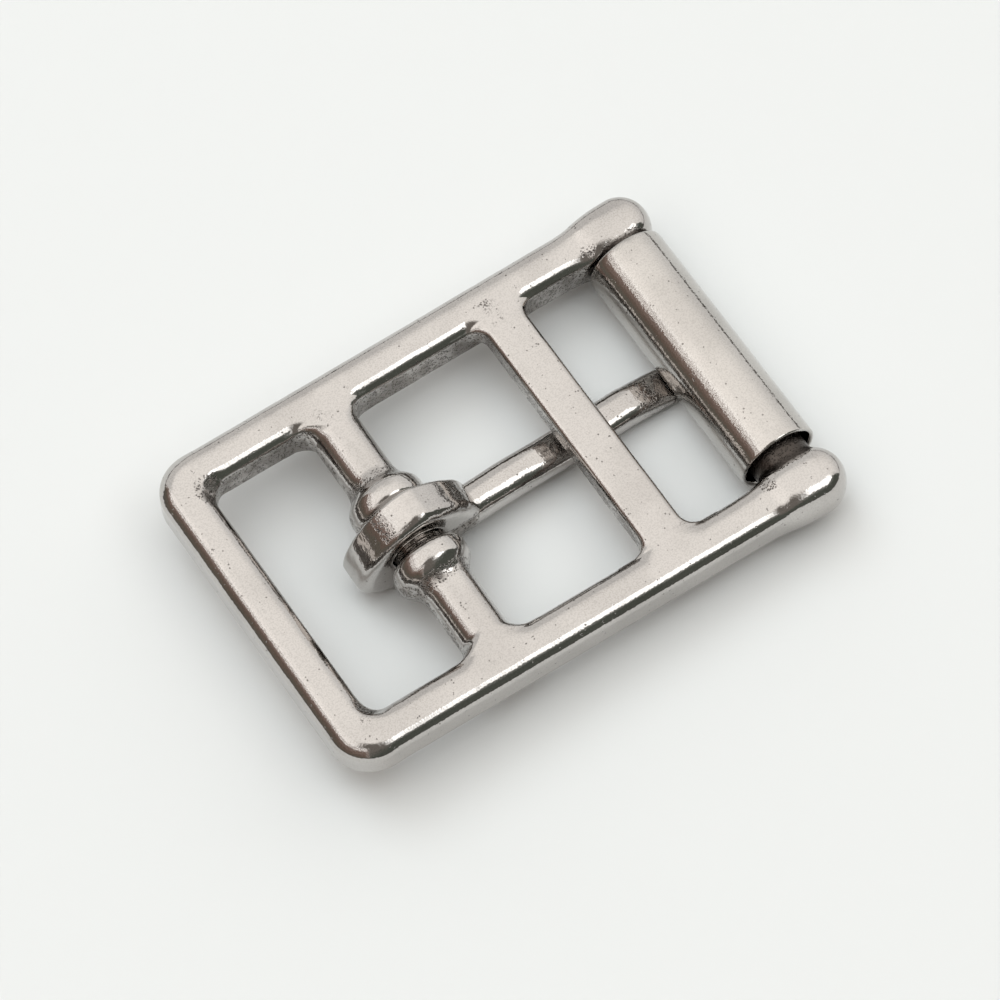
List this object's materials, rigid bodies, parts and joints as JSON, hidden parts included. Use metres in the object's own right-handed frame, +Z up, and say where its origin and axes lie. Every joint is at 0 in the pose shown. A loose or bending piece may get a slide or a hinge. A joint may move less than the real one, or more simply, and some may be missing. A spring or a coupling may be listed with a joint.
{
  "type": "pin buckle",
  "caption": "Cast steel roller buckle with a heel opening, a strap bar with a loose tongue, a fixed keeper bar and a loose roller that the tongue's prong rests under.",
  "frame": {"origin": "on the table, below the middle of the buckle's length and width, as it lies", "axes": "+X along the side rails from the heel bar towards the roller, +Y along the bars, +Z up off the table"},
  "size_m": [0.0516, 0.0364, 0.0103],
  "materials": {
    "cast_steel": "tumbled casting, softly polished on top, sandy and dark in the inner corners",
    "forged_steel": "hammered and tumbled, with flats, creases and small dents",
    "roller_steel": "smooth tube, tumbled, with fine pits"
  },
  "bodies": {
    "frame": {"frame": "cast_steel"},
    "tongue": {"tongue": "forged_steel"},
    "roller": {"roller": "roller_steel"}
  },
  "joints": [
    {"name": "tongue_swing", "type": "hinge", "parent": "frame", "child": "tongue", "pos_m": [-0.00925, 0, 0.00527], "axis": [0, 1, 0], "range_deg": [0, 153]},
    {"name": "roller_spin", "type": "hinge", "parent": "frame", "child": "roller", "pos_m": [0.02171, 0, 0.0038], "axis": [0, 1, 0], "continuous": true}
  ]
}
